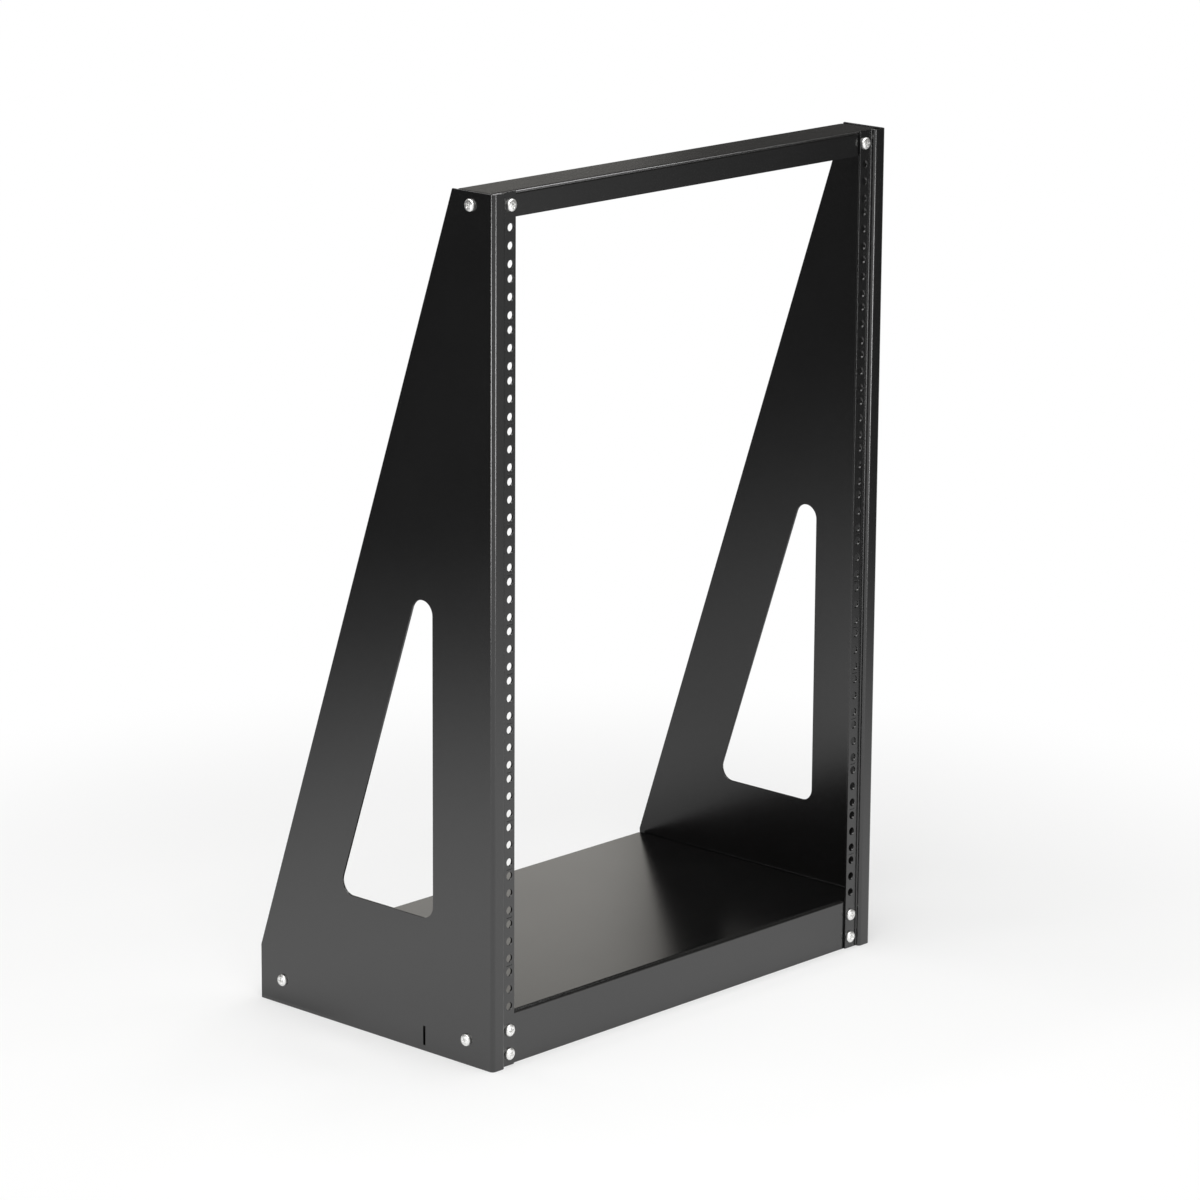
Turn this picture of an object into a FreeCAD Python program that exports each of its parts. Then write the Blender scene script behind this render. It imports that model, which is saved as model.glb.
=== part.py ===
# Two post open frame rack, 16 units high. Each side is one folded sheet: a side plate, a narrow
# front flange and a rack rail set back behind it. A base pan and a top beam, both folded trays,
# join the two sides, and screws in captive nuts hold them.
# Lengths are millimetres. X runs to the right, Y to the rear and Z up. The origin is on the
# floor in the middle of the frame, and the rails face -Y.

import FreeCAD, Part
import math
import os

# Rack rail
unit_height = 44.45         # one rack unit
unit_count = 16
hole_step = 15.875          # between the three holes of a unit
first_hole = 6.35           # lowest hole of a unit, above the bottom of the unit
hole_bore = 7.1
hole_inset = 6.35           # hole centres from the rail's inner edge
rail_opening = 452.4        # clear width between the two rails
rail_width = 15.5           # rail's inner edge to the step in front of it
rail_recess = 4.0           # rail face behind the flange face
flange_width = 15.8         # step to the outer face of the side plate
mark_length = 6.4           # shallow grooves that mark the bottom of each unit
mark_height = 0.9
mark_depth = 0.4

# Sheet metal
sheet = 2.0
fold_inside = 1.8           # inside radius of the large folds
joggle_inside = 1.0         # inside radius of the two small folds beside the rail
relief_gap = 1.0            # notch beyond the fold at each corner of a tray
fit_gap = 0.3               # between a tray's end and the side plate

# Side plate
side_depth = 298.0          # flange face to the rear edge
top_edge = 50.0             # length of the top edge, front to rear
rear_edge = 51.6            # height of the upright part of the rear edge
window_margin = 74.6        # width of the frame left around the window at the front and rear
window_bottom = 125.0
window_corner = 12.5

# Base pan and top beam
pan_height = 49.0
pan_rear_gap = 1.0          # pan's rear face ahead of the rear edge
low_unit_gap = 0.05         # pan's top to the lowest unit
high_unit_gap = 1.65        # highest unit to the beam's bottom
beam_depth = 45.0
beam_height = 22.6
beam_drop = 0.5             # beam's top below the top edge

# Screws and captive nuts
screw_size = 5.9
screw_length = 12.0
head_size = 11.0
head_height = 3.2
head_rim = 1.7              # upright part of the head's side
head_flat = 7.4
recess_size = 6.0           # across the wings of the cross recess
recess_wing = 1.3
recess_depth = 1.9
screw_hole = 6.6
nut_size = 11.0
nut_height = 3.5
nut_pilot = 8.7
nut_pilot_length = 1.5
nut_fit = 0.1
nut_bore = 6.1
pan_low_screw = 11.05       # height of the lower front screws
pan_high_screw = 33.1
pan_side_screw = 23.4       # height of the side screws in the pan
pan_front_inset = 26.4      # side screw behind the pan's front face
pan_rear_inset = 27.9       # side screw ahead of the pan's rear face
beam_side_inset = 21.7      # side screw behind the beam's front face

# Narrow upright slot at the left foot, by which that side is told apart
slot_width = 2.8
slot_length = 18.0
slot_inset = 84.4           # slot's front edge behind the flange face
slot_bottom = 5.3

# Places worked out from the sizes above
vector = FreeCAD.Vector
middle = sheet / 2
rail_edge = rail_opening / 2
hole_column = rail_edge + hole_inset
joggle_face = rail_edge + rail_width
side_face = joggle_face + flange_width
front_face = -side_depth / 2
rear_face = side_depth / 2
rail_face = front_face + rail_recess
rail_start = pan_height + low_unit_gap
tray_front = rail_face + sheet
tray_end = side_face - sheet - fit_gap
pan_rear = rear_face - pan_rear_gap
beam_rear = tray_front + beam_depth
beam_bottom = rail_start + unit_count * unit_height + high_unit_gap
beam_top = beam_bottom + beam_height
beam_screw = beam_bottom + beam_height / 2
side_height = beam_top + beam_drop
overrun = 1.0               # how far a cutting tool runs past what it cuts
touching = 1e-6             # points nearer than this are one point


def unit_vector(start, end):
    """Direction from one plane point to another."""
    length = math.hypot(end[0] - start[0], end[1] - start[1])
    return ((end[0] - start[0]) / length, (end[1] - start[1]) / length)


def turn_angle(before, corner, after):
    """Angle by which a path turns at a corner, positive to the left."""
    first = unit_vector(before, corner)
    second = unit_vector(corner, after)
    cross = first[0] * second[1] - first[1] * second[0]
    dot = first[0] * second[0] + first[1] * second[1]
    return math.atan2(cross, dot)


def corner_arc(before, corner, after, radius):
    """Start, middle and end of the arc that rounds a corner."""
    first = unit_vector(before, corner)
    second = unit_vector(corner, after)
    turn = turn_angle(before, corner, after)
    reach = radius * math.tan(abs(turn) / 2)
    start = (corner[0] - reach * first[0], corner[1] - reach * first[1])
    end = (corner[0] + reach * second[0], corner[1] + reach * second[1])
    side = math.copysign(1.0, turn)
    centre = (start[0] - side * radius * first[1], start[1] + side * radius * first[0])
    out = unit_vector(centre, corner)
    return start, (centre[0] + radius * out[0], centre[1] + radius * out[1]), end


def plane_point(point):
    """A plane point as a vector in the XY plane."""
    return vector(point[0], point[1], 0)


def rounded_edges(points, radii):
    """Straight runs and tangent arcs along a path; the radii are those of its inner points."""
    edges = []
    last = points[0]
    for before, corner, after, radius in zip(points, points[1:], points[2:], radii):
        start, bulge, end = corner_arc(before, corner, after, radius)
        if math.dist(last, start) > touching:
            edges.append(Part.LineSegment(plane_point(last), plane_point(start)).toShape())
        arc = Part.Arc(plane_point(start), plane_point(bulge), plane_point(end))
        edges.append(arc.toShape())
        last = end
    edges.append(Part.LineSegment(plane_point(last), plane_point(points[-1])).toShape())
    return edges


def offset_path(points, distance):
    """The path moved to its left by a distance, with sharp corners."""
    moved = []
    for index, point in enumerate(points):
        before = points[max(index - 1, 0)]
        after = points[min(index + 1, len(points) - 1)]
        first = unit_vector(before, point) if before != point else unit_vector(point, after)
        second = unit_vector(point, after) if after != point else first
        normal = (-first[1] - second[1], first[0] + second[0])
        scale = 2 * distance / (normal[0] ** 2 + normal[1] ** 2)
        moved.append((point[0] + scale * normal[0], point[1] + scale * normal[1]))
    return moved


def folded_section(points, inside_radii):
    """Cross-section of a folded sheet whose middle line passes through the points."""
    left = offset_path(points, middle)
    right = offset_path(points, -middle)
    left_radii = []
    right_radii = []
    for before, corner, after, inside in zip(points, points[1:], points[2:], inside_radii):
        turns_left = turn_angle(before, corner, after) > 0
        left_radii.append(inside if turns_left else inside + sheet)
        right_radii.append(inside + sheet if turns_left else inside)
    edges = rounded_edges(left, left_radii)
    edges.append(Part.LineSegment(plane_point(left[-1]), plane_point(right[-1])).toShape())
    edges += rounded_edges(right[::-1], right_radii[::-1])
    edges.append(Part.LineSegment(plane_point(right[0]), plane_point(left[0])).toShape())
    return Part.Face(Part.Wire(edges))


def rounded_outline(points, radius):
    """Closed outline with every corner rounded."""
    edges = []
    arcs = []
    count = len(points)
    for index in range(count):
        arcs.append(corner_arc(points[index - 1], points[index], points[(index + 1) % count], radius))
    for index, (start, bulge, end) in enumerate(arcs):
        arc = Part.Arc(plane_point(start), plane_point(bulge), plane_point(end))
        edges.append(arc.toShape())
        following = arcs[(index + 1) % count][0]
        edges.append(Part.LineSegment(plane_point(end), plane_point(following)).toShape())
    return Part.Face(Part.Wire(edges))


def stand_along_x(face, x):
    """Put a drawn face in the YZ plane at a place along X."""
    turned = FreeCAD.Rotation(vector(0, 1, 0), vector(0, 0, 1), vector(1, 0, 0), "XYZ")
    return face.transformed(FreeCAD.Placement(vector(x, 0, 0), turned).toMatrix())


def stand_along_y(face, y):
    """Put a drawn face in the XZ plane at a place along Y."""
    turned = FreeCAD.Rotation(vector(1, 0, 0), vector(0, 0, 1), vector(0, -1, 0), "XYZ")
    return face.transformed(FreeCAD.Placement(vector(0, y, 0), turned).toMatrix())


def round_cutter(diameter, point, direction, length):
    """Cylinder that drills a hole from a point."""
    return Part.makeCylinder(diameter / 2, length, point, direction)


def side_outline():
    """Side view of a panel: upright front, sloping rear."""
    corners = [
        (front_face, 0),
        (rear_face, 0),
        (rear_face, rear_edge),
        (front_face + top_edge, side_height),
        (front_face, side_height),
    ]
    wire = Part.makePolygon([plane_point(point) for point in corners + corners[:1]])
    return Part.Face(wire)


def window_outline():
    """Three sided window that keeps an even margin to the front and the sloping rear edge."""
    low = (rear_face, rear_edge)
    high = (front_face + top_edge, side_height)
    slope = unit_vector(low, high)
    start = (low[0] - window_margin * slope[1], low[1] + window_margin * slope[0])
    front = front_face + window_margin
    along_bottom = (window_bottom - start[1]) / slope[1]
    along_front = (front - start[0]) / slope[0]
    corners = [
        (front, window_bottom),
        (start[0] + along_bottom * slope[0], window_bottom),
        (front, start[1] + along_front * slope[1]),
    ]
    return rounded_outline(corners, window_corner)


def hole_heights():
    """Heights of the rack holes, three to a unit."""
    heights = []
    for unit in range(unit_count):
        for hole in range(3):
            heights.append(rail_start + unit * unit_height + first_hole + hole * hole_step)
    return heights


def unit_marks():
    """Cutters for the grooves in the rail face, one at the bottom of each unit but the lowest."""
    cutters = []
    for unit in range(1, unit_count):
        corner = vector(
            hole_column - mark_length / 2,
            rail_face - overrun,
            rail_start + unit * unit_height - mark_height / 2,
        )
        cutters.append(Part.makeBox(mark_length, overrun + mark_depth, mark_height, corner))
    return cutters


def side_screw_places():
    """Y and Z of the screws through the side plates, by name."""
    return {
        "top": (tray_front + beam_side_inset, beam_screw),
        "foot_front": (tray_front + pan_front_inset, pan_side_screw),
        "foot_rear": (pan_rear - pan_rear_inset, pan_side_screw),
    }


def front_screw_heights():
    """Heights of the screws through the rails, by name."""
    return {"top": beam_screw, "foot_high": pan_high_screw, "foot_low": pan_low_screw}


def folded_side():
    """Side plate, front flange and rail in one sheet, with no holes."""
    step = joggle_face + middle
    line = [
        (side_face - middle, rear_face),
        (side_face - middle, front_face + middle),
        (step, front_face + middle),
        (step, rail_face + middle),
        (rail_edge, rail_face + middle),
    ]
    joggle_radius = min(joggle_inside, (rail_recess - sheet) / 2)
    section = folded_section(line, [fold_inside, joggle_radius, joggle_radius])
    sheet_body = section.extrude(vector(0, 0, side_height))
    return sheet_body.common(stand_along_x(side_outline(), 0).extrude(vector(side_face, 0, 0)))


def right_panel():
    """Right side of the frame with its window, rack holes and screw holes."""
    inside = side_face - sheet - overrun
    deep = sheet + 2 * overrun
    cutters = [stand_along_x(window_outline(), inside).extrude(vector(deep, 0, 0))]
    for height in hole_heights() + list(front_screw_heights().values()):
        point = vector(hole_column, rail_face - overrun, height)
        cutters.append(round_cutter(hole_bore, point, vector(0, 1, 0), deep))
    for y, z in side_screw_places().values():
        cutters.append(round_cutter(screw_hole, vector(inside, y, z), vector(1, 0, 0), deep))
    return folded_side().cut(Part.makeCompound(cutters + unit_marks()))


def mirrored(shape):
    """The same shape on the left side."""
    return shape.mirror(vector(0, 0, 0), vector(1, 0, 0))


def left_panel():
    """The right panel mirrored, with a narrow upright slot at the foot."""
    corner = vector(-side_face - overrun, front_face + slot_inset, slot_bottom)
    slot = Part.makeBox(sheet + 2 * overrun, slot_width, slot_length, corner)
    return mirrored(right_panel()).cut(slot)


def tray(rear, bottom, top):
    """Inverted tray behind the rails: a top plate with a flange turned down on every side."""
    relief = fold_inside + sheet + relief_gap
    long_line = [
        (tray_front + middle, bottom),
        (tray_front + middle, top - middle),
        (rear - middle, top - middle),
        (rear - middle, bottom),
    ]
    end_line = [
        (-tray_end + middle, bottom),
        (-tray_end + middle, top - middle),
        (tray_end - middle, top - middle),
        (tray_end - middle, bottom),
    ]
    folds = [fold_inside, fold_inside]
    long_start = -tray_end + relief
    long_part = stand_along_x(folded_section(long_line, folds), long_start)
    long_part = long_part.extrude(vector(-2 * long_start, 0, 0))
    end_start = tray_front + relief
    end_part = stand_along_y(folded_section(end_line, folds), end_start)
    end_part = end_part.extrude(vector(0, rear - relief - end_start, 0))
    return long_part.fuse(end_part).removeSplitter()


def nut_holes(front_heights, side_places):
    """Cutters for the captive nuts in a tray's flanges, on both sides."""
    size = nut_pilot + 2 * nut_fit
    deep = sheet + 2 * overrun
    cutters = []
    for height in front_heights:
        point = vector(hole_column, tray_front - overrun, height)
        cutters.append(round_cutter(size, point, vector(0, 1, 0), deep))
    for y, z in side_places:
        point = vector(tray_end + overrun, y, z)
        cutters.append(round_cutter(size, point, vector(-1, 0, 0), deep))
    return Part.makeCompound(cutters + [mirrored(cutter) for cutter in cutters])


def base_pan():
    """Folded pan that the rack stands on."""
    heights = front_screw_heights()
    places = side_screw_places()
    holes = nut_holes(
        [heights["foot_high"], heights["foot_low"]],
        [places["foot_front"], places["foot_rear"]],
    )
    return tray(pan_rear, 0, pan_height).cut(holes)


def top_beam():
    """Folded beam that ties the panels at the top."""
    holes = nut_holes([front_screw_heights()["top"]], [side_screw_places()["top"]])
    return tray(beam_rear, beam_bottom, beam_top).cut(holes)


def recess_wing_solid():
    """One tapered slot of the cross recess, long side along X."""
    top = -head_height
    half = recess_size / 2
    corners = [
        (-half, top - overrun),
        (half, top - overrun),
        (half, top),
        (half / 2, top + recess_depth),
        (-half / 2, top + recess_depth),
        (-half, top),
    ]
    wire = Part.makePolygon([plane_point(corner) for corner in corners + corners[:1]])
    face = stand_along_y(Part.Face(wire), -recess_wing / 2)
    return face.extrude(vector(0, recess_wing, 0))


def screw():
    """Pan head screw with a cross recess, along +Z, with the head's seat at the origin."""
    outline = [
        vector(0, 0, -head_height),
        vector(0, 0, screw_length),
        vector(screw_size / 2, 0, screw_length),
        vector(screw_size / 2, 0, 0),
        vector(head_size / 2, 0, 0),
        vector(head_size / 2, 0, -head_rim),
        vector(head_flat / 2, 0, -head_height),
    ]
    profile = Part.Face(Part.makePolygon(outline + outline[:1]))
    body = profile.revolve(vector(0, 0, 0), vector(0, 0, 1), 360)
    wing = recess_wing_solid()
    cross_wing = wing.copy()
    cross_wing.rotate(vector(0, 0, 0), vector(0, 0, 1), 90)
    return body.cut(wing.fuse(cross_wing).removeSplitter())


def captive_nut():
    """Round nut pressed into a flange, along +Z, with the flange's inner face at the origin."""
    body = Part.makeCylinder(nut_size / 2, nut_height)
    pilot = Part.makeCylinder(nut_pilot / 2, nut_pilot_length, vector(0, 0, -nut_pilot_length))
    whole = body.fuse(pilot).removeSplitter()
    length = nut_height + nut_pilot_length + 2 * overrun
    start = vector(0, 0, -nut_pilot_length - overrun)
    return whole.cut(Part.makeCylinder(nut_bore / 2, length, start))


def placed(shape, point, direction):
    """A shape made along +Z, moved to a point and turned to a direction."""
    turn = FreeCAD.Rotation(vector(0, 0, 1), direction)
    return shape.transformed(FreeCAD.Placement(point, turn).toMatrix())


def fasteners():
    """Screws and nuts of both sides, by node name."""
    nodes = {}
    inward = {"left": 1, "right": -1}
    for side, sign in inward.items():
        x = -sign * hole_column
        for place, z in front_screw_heights().items():
            seat = vector(x, rail_face, z)
            nut_seat = vector(x, tray_front + sheet, z)
            nodes[f"front_screw_{side}_{place}"] = placed(screw(), seat, vector(0, 1, 0))
            nodes[f"front_nut_{side}_{place}"] = placed(captive_nut(), nut_seat, vector(0, 1, 0))
        for place, (y, z) in side_screw_places().items():
            seat = vector(-sign * side_face, y, z)
            nut_seat = vector(-sign * (tray_end - sheet), y, z)
            direction = vector(sign, 0, 0)
            nodes[f"side_screw_{side}_{place}"] = placed(screw(), seat, direction)
            nodes[f"side_nut_{side}_{place}"] = placed(captive_nut(), nut_seat, direction)
    return nodes


def export_nodes():
    """Write every piece to its own file."""
    os.makedirs("parts", exist_ok=True)
    nodes = {
        "left_side_panel": left_panel(),
        "right_side_panel": right_panel(),
        "base_pan": base_pan(),
        "top_beam": top_beam(),
    }
    nodes.update(fasteners())
    for name, shape in nodes.items():
        solid = shape.Solids[0] if len(shape.Solids) == 1 else shape
        solid.exportStep(f"parts/{name}.step")
        print(name, len(shape.Solids), round(shape.Volume), shape.isValid())


export_nodes()
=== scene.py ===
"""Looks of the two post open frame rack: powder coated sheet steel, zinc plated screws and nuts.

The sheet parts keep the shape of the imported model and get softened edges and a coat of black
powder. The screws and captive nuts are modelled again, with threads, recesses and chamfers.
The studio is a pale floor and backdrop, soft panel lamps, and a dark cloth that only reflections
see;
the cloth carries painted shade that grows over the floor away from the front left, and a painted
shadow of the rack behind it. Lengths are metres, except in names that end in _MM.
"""

import math

import bmesh
import bpy
from mathutils import Matrix, Vector


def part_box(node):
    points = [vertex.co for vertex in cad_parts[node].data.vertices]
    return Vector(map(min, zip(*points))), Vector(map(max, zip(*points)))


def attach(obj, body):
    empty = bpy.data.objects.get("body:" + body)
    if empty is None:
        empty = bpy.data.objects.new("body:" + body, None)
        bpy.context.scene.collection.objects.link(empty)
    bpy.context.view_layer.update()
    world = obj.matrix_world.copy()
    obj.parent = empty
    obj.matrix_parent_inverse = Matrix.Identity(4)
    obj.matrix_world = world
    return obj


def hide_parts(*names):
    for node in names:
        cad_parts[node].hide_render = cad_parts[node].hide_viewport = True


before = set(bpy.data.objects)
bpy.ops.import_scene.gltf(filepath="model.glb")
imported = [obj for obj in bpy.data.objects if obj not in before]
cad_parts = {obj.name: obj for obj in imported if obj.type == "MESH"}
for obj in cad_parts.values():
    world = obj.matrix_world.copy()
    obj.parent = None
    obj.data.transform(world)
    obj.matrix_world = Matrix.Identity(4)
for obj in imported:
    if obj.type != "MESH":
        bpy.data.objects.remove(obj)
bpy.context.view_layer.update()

MM = 0.001
BODY = "root"

# Sheet parts
SHEET_NODES = ("left_side_panel", "right_side_panel", "base_pan", "top_beam")
EDGE_ROUNDING = 0.35 * MM
EDGE_SEGMENTS = 3
SHARP_ANGLE = math.radians(40)
FLAT_ANGLE = math.radians(0.2)
WELD_DISTANCE = 0.002 * MM
NORMALS_WEIGHT = 80

# Powder coat. The shares are those of the cloud noise and of the grain.
CLOUD_SCALE = 9.0
CLOUD_DETAIL = 3.0
GRAIN_SCALE = 2800.0
GRAIN_DETAIL = 1.0
GRAIN_DEPTH = 0.02 * MM
PEEL_SCALE = 260.0
PEEL_DEPTH = 0.006 * MM
PEEL_STRENGTH = 0.3
TONE_SHARES = (0.6, 0.4)
COAT_COLOURS = [(0.3, (0.0010, 0.0010, 0.0011)), (0.7, (0.0026, 0.0026, 0.0027))]
GLOSS_SHARES = (0.05, 0.05)
GLOSS_RANGE = (0.03, 0.07)
COAT_ROUGHNESS = (0.17, 0.21)
COAT_IOR = 1.78

# Zinc plating
MOTTLE_SCALE = 420.0
MOTTLE_DETAIL = 4.0
MOTTLE_ROUGHNESS = 0.6
MOTTLE_DEPTH = 0.01 * MM
MOTTLE_STRENGTH = 0.4
MOTTLE_COLOUR_STOPS = (0.35, 0.65)
MOTTLE_GLOSS_RANGE = (0.3, 0.7)
TURNING_STEP = 0.35 * MM
TURNING_STRENGTH = 0.5
BRIGHT_ZINC = {
    "name": "bright_zinc",
    "dark": (0.84, 0.84, 0.83),
    "light": (0.94, 0.94, 0.93),
    "roughness": (0.34, 0.46),
    "ring_depth": 0.012 * MM,
}
DULL_ZINC = {
    "name": "dull_zinc",
    "dark": (0.46, 0.46, 0.44),
    "light": (0.62, 0.61, 0.58),
    "roughness": (0.34, 0.48),
    "ring_depth": 0.02 * MM,
}

# Screw, in millimetres along its axis from the seat of the head. The head is on the minus side.
HEAD_RADIUS_MM = 5.5
HEAD_RIM_MM = 1.35
HEAD_HEIGHT_MM = 3.2
HEAD_SEAT_INSET_MM = 0.25
HEAD_SEAT_RISE_MM = 0.2
HEAD_SIDES = 64
CROWN_STEPS = 14
CROWN_FULLNESS = 0.62
CROWN_FLAT_MM = 0.35
HEAD_ROUNDING = 0.09 * MM
HEAD_SEGMENTS = 2
HEAD_SHARP_ANGLE = math.radians(32)
SHANK_MM = 12.0
TIP_MM = 0.35
TIP_INSET_MM = 0.7
THREAD_CREST_MM = 2.95
THREAD_ROOT_MM = 2.45
THREAD_PITCH_MM = 1.0
THREAD_START_MM = 0.8
THREAD_STEEPNESS = 1.25
THREAD_ROOT_SHARE = 0.1
THREAD_SIDES = 32
THREAD_ROWS_PER_TURN = 8
SCREW_SHARP_ANGLE = math.radians(38)

# Cross recess in the head of the screw
RECESS_SPAN_MM = 5.6
RECESS_WING_MM = 1.25
RECESS_DEPTH_MM = 1.9
RECESS_OVERRUN_MM = 0.6
RECESS_END_SLOPE = 0.30
RECESS_SIDE_TAPER_MM = 0.12
RECESS_CORNER_MM = 0.25
RECESS_CORNER_INSET = 0.82

# Captive nut, in millimetres from the inner face of the sheet that holds it.
NUT_RADIUS_MM = 5.5
NUT_HEIGHT_MM = 3.5
NUT_PILOT_RADIUS_MM = 4.35
NUT_PILOT_MM = 1.5
NUT_BORE_MM = 3.05
NUT_CHAMFER_MM = 0.45
NUT_MOUTH_MM = 0.4
NUT_SEAT_CHAMFER_MM = 0.15
NUT_PILOT_CHAMFER_MM = 0.2
NUT_PILOT_MOUTH_MM = 0.3
NUT_GROOVE_HEIGHTS_MM = (0.45, 0.65, 0.95, 1.15)
NUT_GROOVE_DEPTH_MM = 0.25
NUT_SIDES = 64
NUT_WELD_DISTANCE = 0.001 * MM
NUT_SHARP_ANGLE = math.radians(30)

# Turn of each fastener about its own axis, against the one before
TURN_STEP_DEGREES = 37.0

# Camera of the photograph
CAMERA_PLACE = Vector((-3.2913, -3.1127, 1.5183))
CAMERA_YAW = math.radians(46.914)
CAMERA_PITCH = math.radians(14.364)
CAMERA_ROLL = math.radians(0.376)
CAMERA_LENS = 152.2
CAMERA_SENSOR = 36
CAMERA_CLIP = (0.05, 60)

# Floor and backdrop. The floor's own white grows with the distance, from its near share to all.
WHITE = (1, 1, 1, 1)
FLOOR_RADIUS = 22.0
FLOOR_SIDES = 96
FLOOR_COLOUR = (0.80, 0.80, 0.795)
FLOOR_ROUGHNESS = 0.9
FLOOR_SPECULAR = 0.1
FLOOR_FADE = (0.45, 1.05)
FLOOR_NEAR_SHARE = 0.45
BACKDROP = (1.0, 0.975, 0.92)
FILL = 0.20

# Dark cloth: a disc just above the floor and a wall round it. Over the floor it darkens away from
# a point front left, as painted shade of the floor that only reflections see
CURTAIN_CENTRE = Vector((-0.4, -0.4, 0))
CURTAIN_RADIUS = 2.4
CURTAIN_LOW = 0.003
CURTAIN_HEIGHT = 3.4
CURTAIN_FLOOR_STEP = 0.05
CURTAIN_FLOOR_RINGS = 48
CURTAIN_WALL_RINGS = 24
CURTAIN_STEP_DEGREES = 2
CLOTH_COLOUR = (0.02, 0.02, 0.02)
CLOTH_MAX = 0.93
CLOTH_PAINTED_SHADE_FADE = (0.6, 2.3)

# Openings in the cloth: the azimuths, in degrees, and heights between which each edge fades
OPENINGS = (
    {"from": (37.6, 41.7), "to": (80.0, 95.0), "top": (0.5, 1.25), "share": 1.0},
    {"from": (265.0, 285.0), "to": (305.0, 323.0), "top": (0.5, 1.5), "share": 0.40},
    {"from": (182.0, 205.0), "to": (255.0, 275.0), "top": (0.6, 3.0), "share": 0.6},
    {"from": (335.0, 355.0), "to": (372.0, 385.0), "top": (0.3, 3.0), "share": 0.6},
    {"from": (78.0, 92.0), "to": (100.0, 115.0), "top": (0.5, 3.0), "share": 0.6},
)
HIGH_OPENING = {"from": (38.0, 50.0), "to": (60.0, 75.0), "top": (1.6, 2.0), "share": 0.13}
HIGH_OPENING_BOTTOM = (0.8, 1.25)

# Places where the cloth is denser, as painted shade: at the left rear, and on the floor behind the
# rack, where it is a painted shadow of the rack, darkest next to the base
LEFT_REAR_PAINTED_SHADE = {"from": (95.0, 125.0), "to": (165.0, 185.0), "share": 0.12}
REAR_PAINTED_SHADOW = {"slope": 0.775, "fade_in": (-0.02, 0.26), "fade_out": (0.9, 1.5), "share": 0.32}
BASE_PAINTED_SHADOW = {"start": (0.03, 0.09), "fade": (0.229, 0.389), "side": (0.2, 0.3), "share": 0.5}
PAINTED_SHADOW_TOP = 0.01


def new_material(name):
    """An empty node material with a Principled shader: the material, its tree and the shader."""
    material = bpy.data.materials.new(name)
    material.use_nodes = True
    tree = material.node_tree
    tree.nodes.clear()
    output = tree.nodes.new("ShaderNodeOutputMaterial")
    shader = tree.nodes.new("ShaderNodeBsdfPrincipled")
    tree.links.new(shader.outputs["BSDF"], output.inputs["Surface"])
    return material, tree, shader


def add_node(tree, kind, values=None, links=None, **settings):
    """A node with its settings, the values of its sockets and the links into them."""
    node = tree.nodes.new(kind)
    for name, value in settings.items():
        setattr(node, name, value)
    for socket, value in (values or {}).items():
        node.inputs[socket].default_value = value
    for socket, source in (links or {}).items():
        tree.links.new(source, node.inputs[socket])
    return node


def mix_to_surface(tree, share, first, second):
    """Show a mix of two shaders, by the share of the second."""
    mix = add_node(tree, "ShaderNodeMixShader", links={0: share, 1: first, 2: second})
    output = next(node for node in tree.nodes if node.type.startswith("OUTPUT"))
    tree.links.new(mix.outputs[0], output.inputs["Surface"])


def object_place(tree):
    """Coordinates of the piece, in metres."""
    return add_node(tree, "ShaderNodeTexCoord").outputs["Object"]


def noise(tree, place, scale, detail=2.0, roughness=0.5):
    """Noise with features of about one over the scale, in metres."""
    values = {"Scale": scale, "Detail": detail, "Roughness": roughness}
    return add_node(tree, "ShaderNodeTexNoise", values, {"Vector": place}).outputs["Fac"]


def ranged(tree, source, start, end, low, high, smooth=False):
    """A value spread from one range to another."""
    values = {"From Min": start, "From Max": end, "To Min": low, "To Max": high}
    kind = "SMOOTHSTEP" if smooth else "LINEAR"
    node = add_node(tree, "ShaderNodeMapRange", values, {"Value": source}, interpolation_type=kind)
    return node.outputs["Result"]


def colour_ramp(tree, source, stops):
    """A colour that runs through the stops as the value goes from 0 to 1."""
    node = add_node(tree, "ShaderNodeValToRGB", links={"Fac": source})
    ramp = node.color_ramp
    while len(ramp.elements) < len(stops):
        ramp.elements.new(0.5)
    for element, (position, colour) in zip(ramp.elements, stops):
        element.position = position
        element.color = (*colour, 1)
    return node.outputs["Color"]


def maths(tree, operation, first, second):
    """Two values put together; each is a number or the output of a node."""
    node = add_node(tree, "ShaderNodeMath", operation=operation)
    for socket, value in zip(node.inputs, (first, second)):
        if isinstance(value, (int, float)):
            socket.default_value = value
        else:
            tree.links.new(value, socket)
    return node.outputs["Value"]


def weighted(tree, first, second, shares):
    """The sum of two values, each times its own share."""
    one = maths(tree, "MULTIPLY", first, shares[0])
    other = maths(tree, "MULTIPLY", second, shares[1])
    return maths(tree, "ADD", one, other)


def bump(tree, height, distance, strength=1.0, before=None):
    """Surface relief from a height of 0 to 1, as deep as the distance."""
    values = {"Distance": distance, "Strength": strength}
    links = {"Height": height}
    if before is not None:
        links["Normal"] = before
    return add_node(tree, "ShaderNodeBump", values, links).outputs["Normal"]


def powder_coat():
    """Smooth black powder coat: a faint orange peel, fine grain and uneven gloss."""
    material, tree, shader = new_material("black_powder_coat")
    place = object_place(tree)
    cloud = noise(tree, place, CLOUD_SCALE, CLOUD_DETAIL)
    grain = noise(tree, place, GRAIN_SCALE, GRAIN_DETAIL)
    peel = noise(tree, place, PEEL_SCALE)
    colour = colour_ramp(tree, weighted(tree, cloud, grain, TONE_SHARES), COAT_COLOURS)
    tree.links.new(colour, shader.inputs["Base Color"])
    gloss = weighted(tree, cloud, grain, GLOSS_SHARES)
    tree.links.new(ranged(tree, gloss, *GLOSS_RANGE, *COAT_ROUGHNESS), shader.inputs["Roughness"])
    relief = bump(tree, peel, PEEL_DEPTH, PEEL_STRENGTH)
    relief = bump(tree, grain, GRAIN_DEPTH, before=relief)
    tree.links.new(relief, shader.inputs["Normal"])
    shader.inputs["IOR"].default_value = COAT_IOR
    return material


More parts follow.
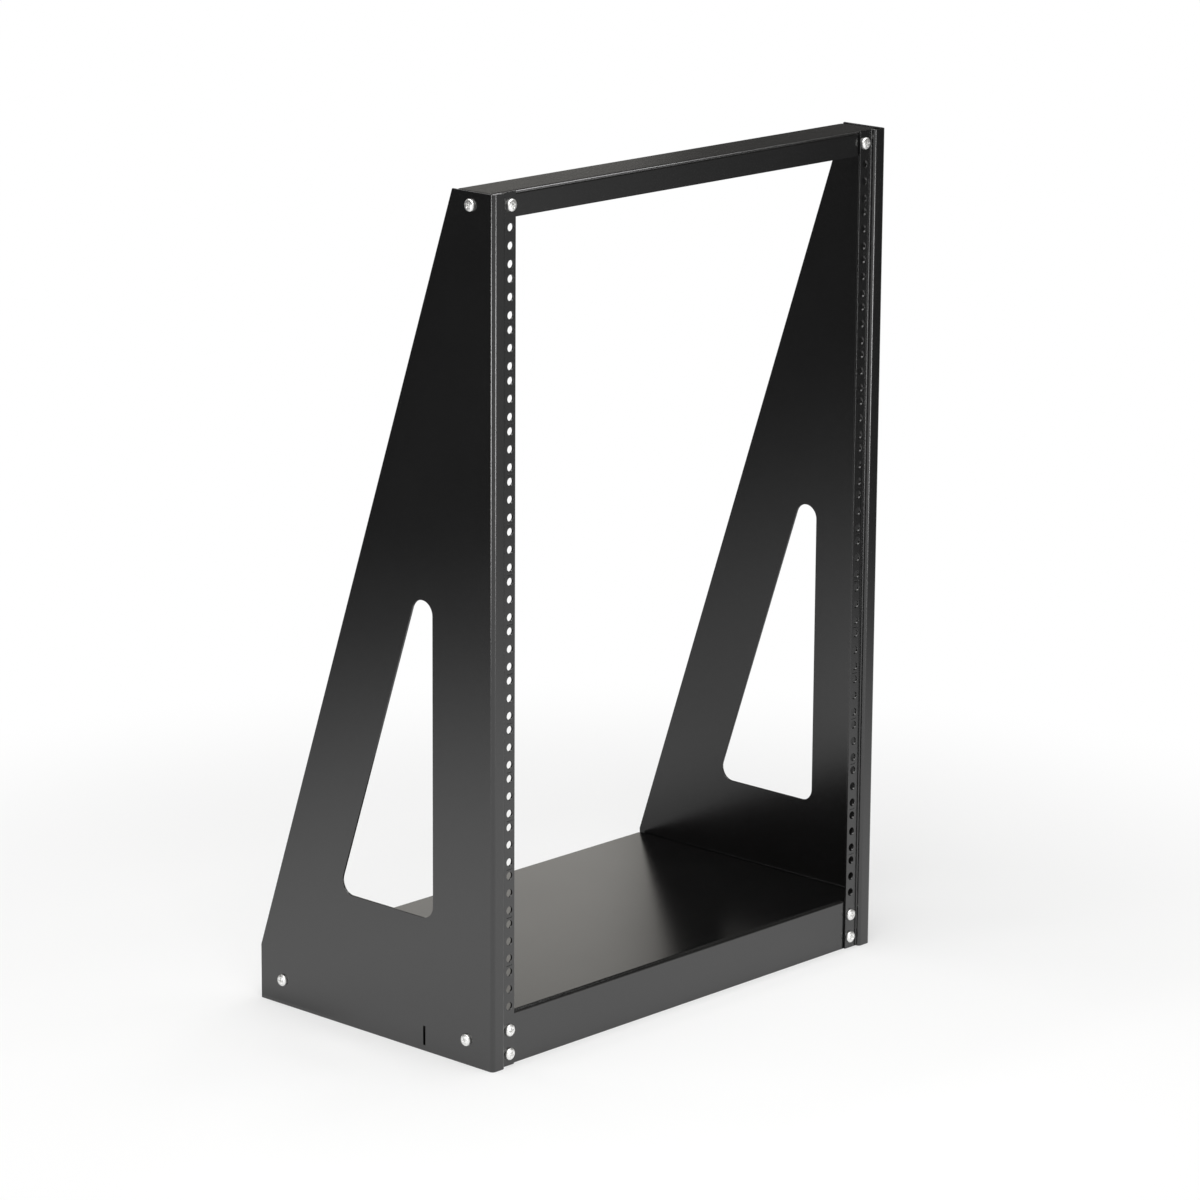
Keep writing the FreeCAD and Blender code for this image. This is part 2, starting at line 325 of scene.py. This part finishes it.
def axis_rings(tree, place, step):
    """Fine rings round the piece's own axis, left by turning."""
    values = {"Scale": 0.5 / step, "Distortion": 0.6, "Detail": 1.0, "Detail Scale": 2.0}
    kind = {"wave_type": "RINGS", "rings_direction": "Z", "wave_profile": "SIN"}
    return add_node(tree, "ShaderNodeTexWave", values, {"Vector": place}, **kind).outputs["Fac"]


def zinc(name, dark, light, roughness, ring_depth):
    """Zinc plating over turned steel, with a mottled tone and faint turning rings."""
    material, tree, shader = new_material(name)
    place = object_place(tree)
    mottle = noise(tree, place, MOTTLE_SCALE, MOTTLE_DETAIL, MOTTLE_ROUGHNESS)
    stops = list(zip(MOTTLE_COLOUR_STOPS, (dark, light)))
    tree.links.new(colour_ramp(tree, mottle, stops), shader.inputs["Base Color"])
    spread = ranged(tree, mottle, *MOTTLE_GLOSS_RANGE, *roughness)
    tree.links.new(spread, shader.inputs["Roughness"])
    rings = axis_rings(tree, place, TURNING_STEP)
    relief = bump(tree, rings, ring_depth, TURNING_STRENGTH)
    relief = bump(tree, mottle, MOTTLE_DEPTH, MOTTLE_STRENGTH, relief)
    tree.links.new(relief, shader.inputs["Normal"])
    shader.inputs["Metallic"].default_value = 1.0
    return material


def outer_edge_weights():
    """Geometry nodes that mark the sharp outer corners, and not the inner ones, for rounding."""
    group = bpy.data.node_groups.new("outer_edge_weights", "GeometryNodeTree")
    for way in ("INPUT", "OUTPUT"):
        group.interface.new_socket("Geometry", in_out=way, socket_type="NodeSocketGeometry")
    start = group.nodes.new("NodeGroupInput")
    end = group.nodes.new("NodeGroupOutput")
    angle = group.nodes.new("GeometryNodeInputMeshEdgeAngle")
    sharp = add_node(group, "FunctionNodeCompare", {1: SHARP_ANGLE}, operation="GREATER_THAN")
    group.links.new(angle.outputs["Signed Angle"], sharp.inputs[0])
    store = add_node(group, "GeometryNodeStoreNamedAttribute", data_type="FLOAT", domain="EDGE")
    store.inputs["Name"].default_value = "bevel_weight_edge"
    group.links.new(start.outputs["Geometry"], store.inputs["Geometry"])
    group.links.new(sharp.outputs["Result"], store.inputs["Value"])
    group.links.new(store.outputs["Geometry"], end.inputs["Geometry"])
    return group


def soften_edges(piece, weights):
    """Round the sharp outer corners, as a coat of powder does, and smooth the folds."""
    weld = piece.modifiers.new("weld", "WELD")
    weld.merge_threshold = WELD_DISTANCE
    flatten = piece.modifiers.new("flatten", "DECIMATE")
    flatten.decimate_type = "DISSOLVE"
    flatten.angle_limit = FLAT_ANGLE
    marked = piece.modifiers.new("outer_edges", "NODES")
    marked.node_group = weights
    bevel = piece.modifiers.new("edges", "BEVEL")
    bevel.width = EDGE_ROUNDING
    bevel.segments = EDGE_SEGMENTS
    bevel.limit_method = "WEIGHT"
    bevel.use_clamp_overlap = False
    normals = piece.modifiers.new("normals", "WEIGHTED_NORMAL")
    normals.keep_sharp = True
    normals.weight = NORMALS_WEIGHT


def dress_sheet(piece, material, weights):
    """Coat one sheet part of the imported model."""
    piece.data.materials.clear()
    piece.data.materials.append(material)
    for polygon in piece.data.polygons:
        polygon.use_smooth = True
    soften_edges(piece, weights)


def finished(name, mesh):
    """The mesh data of a bmesh, which is freed."""
    data = bpy.data.meshes.new(name)
    mesh.to_mesh(data)
    mesh.free()
    return data


def mesh_from_rings(name, rings, closed_start=True, closed_end=True):
    """A tube of quads through rings of points, with its ends capped or left open."""
    mesh = bmesh.new()
    loops = [[mesh.verts.new(point) for point in ring] for ring in rings]
    count = len(loops[0])
    for low, high in zip(loops, loops[1:]):
        for index in range(count):
            after = (index + 1) % count
            mesh.faces.new((low[index], low[after], high[after], high[index]))
    if closed_start:
        mesh.faces.new(loops[0][::-1])
    if closed_end:
        mesh.faces.new(loops[-1])
    return finished(name, mesh)


def shade_by_angle(mesh, sharp_angle):
    """Shade a bmesh smoothly, apart from its edges past the angle."""
    bmesh.ops.recalc_face_normals(mesh, faces=mesh.faces)
    for face in mesh.faces:
        face.smooth = True
    for edge in mesh.edges:
        if len(edge.link_faces) == 2 and edge.calc_face_angle() > sharp_angle:
            edge.smooth = False


def clamped(value):
    """The value, kept between 0 and 1."""
    return min(1.0, max(0.0, value))


def round_point(radius, turn, height):
    """A point in metres, from a radius and height in millimetres and an angle round Z."""
    return Vector((radius * math.cos(turn), radius * math.sin(turn), height)) * MM


def ring(radius, height, sides):
    """Points of a circle round Z. Radius and height are millimetres, the points metres."""
    return [round_point(radius, 2 * math.pi * index / sides, height) for index in range(sides)]


def head_profile():
    """Radius and height of a pan head, from its seat to near the middle of its crown."""
    profile = [
        (HEAD_RADIUS_MM - HEAD_SEAT_INSET_MM, 0.0),
        (HEAD_RADIUS_MM, -HEAD_SEAT_RISE_MM),
        (HEAD_RADIUS_MM, -HEAD_RIM_MM),
    ]
    crown = HEAD_HEIGHT_MM - HEAD_RIM_MM
    for step in range(1, CROWN_STEPS):
        turn = math.radians(90) * step / CROWN_STEPS
        radius = HEAD_RADIUS_MM * math.cos(turn) ** CROWN_FULLNESS
        profile.append((radius, -HEAD_RIM_MM - crown * math.sin(turn)))
    profile.append((CROWN_FLAT_MM, -HEAD_HEIGHT_MM))
    return profile


def thread_radius(height, turn):
    """Radius of the shank's thread at a height and an angle round the axis."""
    phase = (height / THREAD_PITCH_MM - turn / (2 * math.pi)) % 1.0
    ridge = 1 - abs(2 * phase - 1)
    ridge = clamped(THREAD_STEEPNESS * ridge - THREAD_ROOT_SHARE)
    fade_in = clamped((height - THREAD_START_MM) / THREAD_PITCH_MM)
    fade_out = clamped((SHANK_MM - height) / THREAD_PITCH_MM)
    crest = THREAD_ROOT_MM + (THREAD_CREST_MM - THREAD_ROOT_MM) * fade_out
    return THREAD_ROOT_MM + (crest - THREAD_ROOT_MM) * ridge * fade_in


def thread_ring(height):
    """Points round the threaded shank at a height."""
    turns = [2 * math.pi * index / THREAD_SIDES for index in range(THREAD_SIDES)]
    return [round_point(thread_radius(height, turn), turn, height) for turn in turns]


def thread_rings():
    """Rings of the threaded shank, from the seat of the head to its chamfered tip."""
    rows = round(SHANK_MM / THREAD_PITCH_MM * THREAD_ROWS_PER_TURN)
    tip = SHANK_MM - TIP_MM
    heights = [SHANK_MM * row / rows for row in range(rows)]
    rings = [thread_ring(height) for height in heights if height < tip]
    rings.append(thread_ring(tip))
    rings.append(ring(THREAD_ROOT_MM - TIP_INSET_MM, SHANK_MM, THREAD_SIDES))
    return rings


def recess_section(height):
    """Points round the cross recess at a height: four wings with chamfered inner corners."""
    below = height + HEAD_HEIGHT_MM
    reach = RECESS_SPAN_MM / 2 - RECESS_END_SLOPE * below
    half = RECESS_WING_MM / 2 - RECESS_SIDE_TAPER_MM * below / RECESS_DEPTH_MM
    corner = half + RECESS_CORNER_MM
    inner = corner * RECESS_CORNER_INSET
    wing = ((reach, -half), (reach, half), (corner, half), (inner, inner), (half, corner))
    points = []
    for quarter in range(4):
        turn = Matrix.Rotation(math.radians(90 * quarter), 3, "Z")
        points += [turn @ Vector((x, y, height)) * MM for x, y in wing]
    return points


def recess_cutter():
    """Cross shaped cutter that tapers to a small flat, along +Z from above the crown."""
    top = -HEAD_HEIGHT_MM - RECESS_OVERRUN_MM
    bottom = -HEAD_HEIGHT_MM + RECESS_DEPTH_MM
    return mesh_from_rings("recess_cutter", [recess_section(top), recess_section(bottom)])


def baked(piece):
    """The mesh of a piece with its modifiers applied."""
    graph = bpy.context.evaluated_depsgraph_get()
    return bpy.data.meshes.new_from_object(piece.evaluated_get(graph))


def shown(name, data):
    """An object for a mesh, linked to the scene."""
    piece = bpy.data.objects.new(name, data)
    bpy.context.scene.collection.objects.link(piece)
    return piece


def head_mesh():
    """Pan head with its cross recess cut and its edges softened."""
    rings = [ring(radius, height, HEAD_SIDES) for radius, height in head_profile()]
    head = shown("head", mesh_from_rings("head", rings[::-1]))
    cutter = shown("cutter", recess_cutter())
    cut = head.modifiers.new("recess", "BOOLEAN")
    cut.operation = "DIFFERENCE"
    cut.solver = "EXACT"
    cut.object = cutter
    soft = head.modifiers.new("soft", "BEVEL")
    soft.width = HEAD_ROUNDING
    soft.segments = HEAD_SEGMENTS
    soft.limit_method = "ANGLE"
    soft.angle_limit = HEAD_SHARP_ANGLE
    soft.use_clamp_overlap = False
    data = baked(head)
    for piece in (head, cutter):
        bpy.data.objects.remove(piece)
    return data


def screw_mesh():
    """Whole screw along +Z in one closed surface, with the seat of its head at the origin."""
    mesh = bmesh.new()
    mesh.from_mesh(head_mesh())
    seat = [
        face
        for face in mesh.faces
        if all(abs(vert.co.z) < WELD_DISTANCE for vert in face.verts)
    ]
    bmesh.ops.delete(mesh, geom=seat, context="FACES_ONLY")
    mesh.from_mesh(mesh_from_rings("shank", thread_rings(), closed_start=False))
    rims = [edge for edge in mesh.edges if edge.is_boundary]
    bmesh.ops.bridge_loops(mesh, edges=rims)
    shade_by_angle(mesh, SCREW_SHARP_ANGLE)
    return finished("screw", mesh)


def nut_profile():
    """Radius and height round a nut's section, from its inner end over the outside to its bore."""
    groove_radius = NUT_RADIUS_MM - NUT_GROOVE_DEPTH_MM
    groove_low, floor_low, floor_high, groove_high = NUT_GROOVE_HEIGHTS_MM
    return [
        (NUT_BORE_MM + NUT_MOUTH_MM, NUT_HEIGHT_MM),
        (NUT_RADIUS_MM - NUT_CHAMFER_MM, NUT_HEIGHT_MM),
        (NUT_RADIUS_MM, NUT_HEIGHT_MM - NUT_CHAMFER_MM),
        (NUT_RADIUS_MM, groove_high),
        (groove_radius, floor_high),
        (groove_radius, floor_low),
        (NUT_RADIUS_MM, groove_low),
        (NUT_RADIUS_MM, NUT_SEAT_CHAMFER_MM),
        (NUT_RADIUS_MM - NUT_SEAT_CHAMFER_MM, 0.0),
        (NUT_PILOT_RADIUS_MM, 0.0),
        (NUT_PILOT_RADIUS_MM, -NUT_PILOT_MM + NUT_PILOT_CHAMFER_MM),
        (NUT_PILOT_RADIUS_MM - NUT_PILOT_CHAMFER_MM, -NUT_PILOT_MM),
        (NUT_BORE_MM + NUT_PILOT_MOUTH_MM, -NUT_PILOT_MM),
        (NUT_BORE_MM, -NUT_PILOT_MM + NUT_PILOT_MOUTH_MM),
        (NUT_BORE_MM, NUT_HEIGHT_MM - NUT_MOUTH_MM),
    ]


def nut_mesh():
    """Round captive nut along +Z, with the inner face of its sheet at the origin."""
    rings = [ring(radius, height, NUT_SIDES) for radius, height in nut_profile()]
    mesh = bmesh.new()
    mesh.from_mesh(mesh_from_rings("nut_rings", rings + rings[:1], False, False))
    bmesh.ops.remove_doubles(mesh, verts=mesh.verts, dist=NUT_WELD_DISTANCE)
    shade_by_angle(mesh, NUT_SHARP_ANGLE)
    return finished("nut", mesh)


def inward_axis(node):
    """Direction from a fastener's outer end into the frame, by the name of its node."""
    if node.startswith("front"):
        return Vector((0, 1, 0))
    return Vector((1, 0, 0)) if "_left_" in node else Vector((-1, 0, 0))


def seat_of(node, outside_mm):
    """Place of a fastener's seat: its box's outer end moved in by the part that stands outside."""
    low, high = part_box(node)
    axis = inward_axis(node)
    middle = (low + high) / 2
    half = abs((high - low) @ axis) / 2
    return middle - axis * (half - outside_mm * MM)


def placed(name, data, node, outside_mm, turn):
    """A fastener in the place of its node, turned about its own axis."""
    piece = shown(name, data)
    facing = Vector((0, 0, 1)).rotation_difference(inward_axis(node)).to_matrix().to_4x4()
    spin = Matrix.Rotation(turn, 4, "Z")
    piece.matrix_world = Matrix.Translation(seat_of(node, outside_mm)) @ facing @ spin
    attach(piece, BODY)
    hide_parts(node)
    return piece


def build_fasteners():
    """Every screw and nut, each turned differently."""
    bright = zinc(**BRIGHT_ZINC)
    dull = zinc(**DULL_ZINC)
    screws = screw_mesh()
    nuts = nut_mesh()
    screws.materials.append(bright)
    nuts.materials.append(dull)
    for index, node in enumerate(sorted(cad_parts)):
        turn = math.radians(TURN_STEP_DEGREES * index)
        if "_screw_" in node:
            piece = placed(node.replace("screw", "zinc_screw"), screws, node, HEAD_HEIGHT_MM, turn)
        elif "_nut_" in node:
            piece = placed(node.replace("nut", "clinch_nut"), nuts, node, NUT_PILOT_MM, turn)


def build_camera():
    """Camera at the photograph's place, with the same framing."""
    cos_yaw, sin_yaw = math.cos(CAMERA_YAW), math.sin(CAMERA_YAW)
    cos_pitch, sin_pitch = math.cos(CAMERA_PITCH), math.sin(CAMERA_PITCH)
    forward = Vector((sin_yaw * cos_pitch, cos_yaw * cos_pitch, -sin_pitch))
    level = Vector((cos_yaw, -sin_yaw, 0))
    above = level.cross(forward)
    right = math.cos(CAMERA_ROLL) * level + math.sin(CAMERA_ROLL) * above
    up = -math.sin(CAMERA_ROLL) * level + math.cos(CAMERA_ROLL) * above
    turned = Matrix((right, up, -forward)).transposed().to_4x4()
    lens = bpy.data.cameras.new("camera")
    lens.lens = CAMERA_LENS
    lens.sensor_width = CAMERA_SENSOR
    lens.clip_start, lens.clip_end = CAMERA_CLIP
    camera = bpy.data.objects.new("camera", lens)
    camera.matrix_world = Matrix.Translation(CAMERA_PLACE) @ turned
    bpy.context.scene.collection.objects.link(camera)
    bpy.context.scene.camera = camera


def shown_rays(tree):
    """1 for the rays that show the background: to the camera, in reflections and through glass."""
    path = add_node(tree, "ShaderNodeLightPath")
    seen = maths(tree, "MAXIMUM", path.outputs["Is Camera Ray"], path.outputs["Is Glossy Ray"])
    return maths(tree, "MAXIMUM", seen, path.outputs["Is Transmission Ray"])


def floor_material():
    """Pale matt floor that fades to plain white away from the rack."""
    material, tree, shader = new_material("studio_floor")
    place = object_place(tree)
    shader.inputs["Base Color"].default_value = (*FLOOR_COLOUR, 1)
    shader.inputs["Roughness"].default_value = FLOOR_ROUGHNESS
    shader.inputs["Specular IOR Level"].default_value = FLOOR_SPECULAR
    far = add_node(tree, "ShaderNodeVectorMath", links={0: place}, operation="LENGTH")
    fade = ranged(tree, far.outputs["Value"], *FLOOR_FADE, FLOOR_NEAR_SHARE, 1.0, smooth=True)
    white = add_node(tree, "ShaderNodeEmission", {"Color": WHITE, "Strength": 1.0})
    share = maths(tree, "MULTIPLY", shown_rays(tree), fade)
    mix_to_surface(tree, share, shader.outputs["BSDF"], white.outputs[0])
    return material


def build_floor():
    """Round floor under the rack."""
    mesh = bmesh.new()
    bmesh.ops.create_circle(mesh, cap_ends=True, segments=FLOOR_SIDES, radius=FLOOR_RADIUS)
    data = finished("floor", mesh)
    data.materials.append(floor_material())
    floor = shown("floor", data)


def build_world():
    """White backdrop wherever it shows, and a dim even fill as light."""
    world = bpy.data.worlds.new("studio")
    bpy.context.scene.world = world
    world.use_nodes = True
    tree = world.node_tree
    tree.nodes.clear()
    tree.nodes.new("ShaderNodeOutputWorld")
    fill = add_node(tree, "ShaderNodeBackground", {"Color": WHITE, "Strength": FILL})
    white = add_node(tree, "ShaderNodeBackground", {"Color": (*BACKDROP, 1), "Strength": 1.0})
    mix_to_surface(tree, shown_rays(tree), fill.outputs[0], white.outputs[0])


def polar(azimuth, distance, height):
    """A place round the rack, by its angle from +X in degrees."""
    turn = math.radians(azimuth)
    return (distance * math.cos(turn), distance * math.sin(turn), height)


def smooth_step(value, start, end):
    """0 at the start, 1 at the end, with a soft change between."""
    share = clamped((value - start) / (end - start))
    return share * share * (3 - 2 * share)


def sector(place, zone):
    """The share of a zone at a place, by its angle from +X in degrees."""
    azimuth = math.degrees(math.atan2(place[1], place[0])) % 360
    if azimuth < zone["from"][0] and zone["to"][1] > 360:
        azimuth += 360
    share = zone["share"] * smooth_step(azimuth, *zone["from"])
    return share * (1 - smooth_step(azimuth, *zone["to"]))


def opening_at(place, opening):
    """How open the dark cloth is at a place, by one of its openings."""
    return sector(place, opening) * (1 - smooth_step(place[2], *opening["top"]))


def painted_rear_shadow(place):
    """Painted shadow of the rack on the floor behind it, laid on as thin dark cloth that only
    reflections see, darkest next to the base.
    """
    if place[2] > PAINTED_SHADOW_TOP:
        return 0
    slant = place[1] + REAR_PAINTED_SHADOW["slope"] * place[0]
    share = REAR_PAINTED_SHADOW["share"] * smooth_step(slant, *REAR_PAINTED_SHADOW["fade_in"])
    share *= 1 - smooth_step(Vector(place[:2]).length, *REAR_PAINTED_SHADOW["fade_out"])
    near = BASE_PAINTED_SHADOW["share"] * (1 - smooth_step(place[1], *BASE_PAINTED_SHADOW["fade"]))
    near *= 1 - smooth_step(abs(place[0]), *BASE_PAINTED_SHADOW["side"])
    return smooth_step(place[1], *BASE_PAINTED_SHADOW["start"]) * (1 - (1 - share) * (1 - near))


def curtain_cover(place):
    """How much of the studio the dark cloth hides at a place, painted shade and the painted shadow
    behind the rack included.
    """
    # Painted shade: the cover grows with the distance from the front left, and sooner at the left
    # rear.
    away = (Vector(place) - CURTAIN_CENTRE).to_2d().length * (1 + sector(place, LEFT_REAR_PAINTED_SHADE))
    cover = smooth_step(away, *CLOTH_PAINTED_SHADE_FADE)
    for opening in OPENINGS:
        cover *= 1 - opening_at(place, opening)
    cover *= 1 - opening_at(place, HIGH_OPENING) * smooth_step(place[2], *HIGH_OPENING_BOTTOM)
    # The painted shadow of the rack on the floor behind it darkens the cloth further.
    return 1 - (1 - CLOTH_MAX * cover) * (1 - painted_rear_shadow(place))


def curtain_material():
    """Matt black cloth, as dense as the mesh says."""
    material, tree, shader = new_material("studio_curtain")
    shader.inputs["Base Color"].default_value = (*CLOTH_COLOUR, 1)
    shader.inputs["Roughness"].default_value = 1.0
    shader.inputs["Specular IOR Level"].default_value = 0.0
    cover = add_node(tree, "ShaderNodeAttribute", attribute_name="cover").outputs["Fac"]
    clear = add_node(tree, "ShaderNodeBsdfTransparent")
    mix_to_surface(tree, cover, clear.outputs[0], shader.outputs["BSDF"])
    return material


def curtain_rings():
    """Rings of the cloth, outwards over the floor and then up its wall."""
    profile = []
    for step in range(1, CURTAIN_FLOOR_RINGS + 1):
        profile.append((CURTAIN_FLOOR_STEP * step, CURTAIN_LOW))
    rise = CURTAIN_HEIGHT - CURTAIN_LOW
    for step in range(1, CURTAIN_WALL_RINGS + 1):
        profile.append((CURTAIN_RADIUS, CURTAIN_LOW + rise * step / CURTAIN_WALL_RINGS))
    azimuths = range(0, 360, CURTAIN_STEP_DEGREES)
    rings = []
    for radius, height in profile:
        circle = [Vector(polar(azimuth, radius, height)) for azimuth in azimuths]
        rings.append([CURTAIN_CENTRE + point for point in circle])
    return rings


def build_curtain():
    """Black cloth round the rack, on the floor and up, that only reflections see."""
    data = mesh_from_rings("curtain", curtain_rings(), False, False)
    cover = data.attributes.new("cover", "FLOAT", "POINT")
    for vertex in data.vertices:
        cover.data[vertex.index].value = curtain_cover(vertex.co)
    data.materials.append(curtain_material())
    curtain = shown("curtain", data)
    curtain.visible_camera = False
    curtain.visible_diffuse = False
    curtain.visible_shadow = False


def softbox(name, place, aim, size, power):
    """A soft panel light that the camera doesn't see. Its size is a width and a height."""
    light = bpy.data.lights.new(name, "AREA")
    light.shape = "RECTANGLE"
    light.size, light.size_y = size
    light.energy = power
    lamp = bpy.data.objects.new(name, light)
    lamp.location = place
    lamp.rotation_mode = "QUATERNION"
    lamp.rotation_quaternion = (Vector(aim) - Vector(place)).to_track_quat("-Z", "Y")
    lamp.visible_camera = False
    bpy.context.scene.collection.objects.link(lamp)


def build_lights():
    """Seven lamps: one overhead, two low ones for the lines on the posts, and four high ones."""
    softbox("overhead", (-0.3, -0.3, 2.2), (-0.3, -0.3, 0), size=(1.6, 1.6), power=45)
    softbox("left_strip", polar(172, 2.1, 0.22), (0, 0, 0.22), size=(0.6, 0.42), power=7.5)
    softbox("front_strip", polar(280, 2.1, 0.22), (0, 0, 0.22), size=(0.6, 0.42), power=7.5)
    softbox("front_high", polar(227, 2.0, 1.6), (0, 0, 0.4), size=(1.2, 1.0), power=12)
    softbox("rear_high", (-0.264, 1.318, 2.268), (0.036, -0.182, 0.568), size=(1.0, 0.5), power=6)
    softbox("right_high", (1.75, 0.0, 2.7), (0, 0, 0.75), size=(1.0, 0.4), power=6)
    softbox("front_right_high", (1.65, -1.4, 2.2), (0, -0.1, 0.75), size=(0.6, 0.4), power=2.0)


coat = powder_coat()
edge_weights = outer_edge_weights()
for sheet_node in SHEET_NODES:
    dress_sheet(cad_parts[sheet_node], coat, edge_weights)
build_fasteners()
build_camera()
build_floor()
build_world()
build_curtain()
build_lights()
bpy.context.scene.view_settings.view_transform = "Standard"
